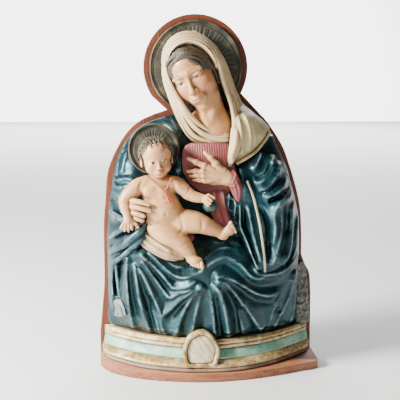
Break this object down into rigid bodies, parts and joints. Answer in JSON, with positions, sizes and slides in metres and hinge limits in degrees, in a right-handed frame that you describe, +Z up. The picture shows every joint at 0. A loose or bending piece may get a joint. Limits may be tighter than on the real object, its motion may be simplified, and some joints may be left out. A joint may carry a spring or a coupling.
{
  "type": "madonna relief",
  "caption": "Painted and gilt high relief of a seated Madonna and Child on a bowed moulded base, fixed to a contour-cut wooden board.",
  "frame": {"origin": "middle of the footprint's bounding box, on the surface the plinth board stands on", "axes": "+Z up, +X to the viewer's right, the figures look along -Y"},
  "size_m": [0.516, 0.196, 0.82],
  "materials": {
    "board_wood": "terracotta-stained wood, satin",
    "gilding": "worn gilding over gesso",
    "green_paint": "aged green paint",
    "foot_paint": "brown-grey painted wood",
    "cloak_paint": "deep teal paint under satin varnish",
    "lining_paint": "grey-silver paint",
    "stone_paint": "rough grey paint imitating stone",
    "rose_paint": "dusty rose paint",
    "veil_paint": "cream paint with brown wash in the folds",
    "cape_paint": "greenish cream paint",
    "flesh_paint": "flesh paint under varnish",
    "child_flesh_paint": "pale flesh paint under varnish",
    "hair_paint": "grey-brown paint",
    "halo_paint": "olive-grey worn gilding with engraved rays",
    "coral_paint": "coral red paint",
    "steel": "zinc-plated steel"
  },
  "bodies": {
    "relief": {"backboard_left": "board_wood", "backboard_middle": "board_wood", "backboard_right": "board_wood", "ball": "green_paint", "base_foot": "foot_paint", "base_frieze": "green_paint", "base_lower_moulding": "gilding", "base_upper_moulding": "gilding", "batten_screw_1": "steel", "batten_screw_2": "steel", "batten_screw_3": "steel", "batten_screw_4": "steel", "breast_hand": "flesh_paint", "cape_edge": "cape_paint", "cartouche_field": "gilding", "cartouche_frame": "gilding", "child_hair": "hair_paint", "child_head": "child_flesh_paint", "child_left_arm": "child_flesh_paint", "child_left_leg": "child_flesh_paint", "child_right_arm": "child_flesh_paint", "child_right_leg": "child_flesh_paint", "child_torso": "child_flesh_paint", "cloak_gilt_edge": "gilding", "cloak_lap": "cloak_paint", "cloak_left_side": "cloak_paint", "cloak_sleeve": "cloak_paint", "coral_drop": "coral_paint", "coral_string": "coral_paint", "cushion": "rose_paint", "dress_bodice": "rose_paint", "dress_cuff": "rose_paint", "dress_fall": "rose_paint", "hanger_screw_left": "steel", "hanger_screw_right": "steel", "hanger_strap_left": "steel", "hanger_strap_right": "steel", "large_halo": "halo_paint", "large_halo_pin": "board_wood", "lower_batten": "board_wood", "madonna_hair": "hair_paint", "madonna_head": "flesh_paint", "plinth_board": "board_wood", "plinth_screw_1": "steel", "plinth_screw_2": "steel", "relief_screw_1": "steel", "relief_screw_2": "steel", "relief_screw_3": "steel", "shoulder_cape": "cape_paint", "small_halo": "halo_paint", "stone_seat": "stone_paint", "supporting_hand": "flesh_paint", "swaddling_cloth": "veil_paint", "turned_lining": "lining_paint", "upper_batten": "board_wood", "veil_band": "veil_paint", "veil_end": "veil_paint"},
    "left_ring": {"hanger_ring_left": "steel"},
    "right_ring": {"hanger_ring_right": "steel"}
  },
  "joints": [
    {"name": "left_ring_swing", "type": "hinge", "parent": "relief", "child": "left_ring", "pos_m": [-0.118, 0.08275, 0.47], "axis": [1, 0, 0], "range_deg": [-3, 168]},
    {"name": "right_ring_swing", "type": "hinge", "parent": "relief", "child": "right_ring", "pos_m": [0.118, 0.08275, 0.47], "axis": [1, 0, 0], "range_deg": [-3, 168]}
  ]
}
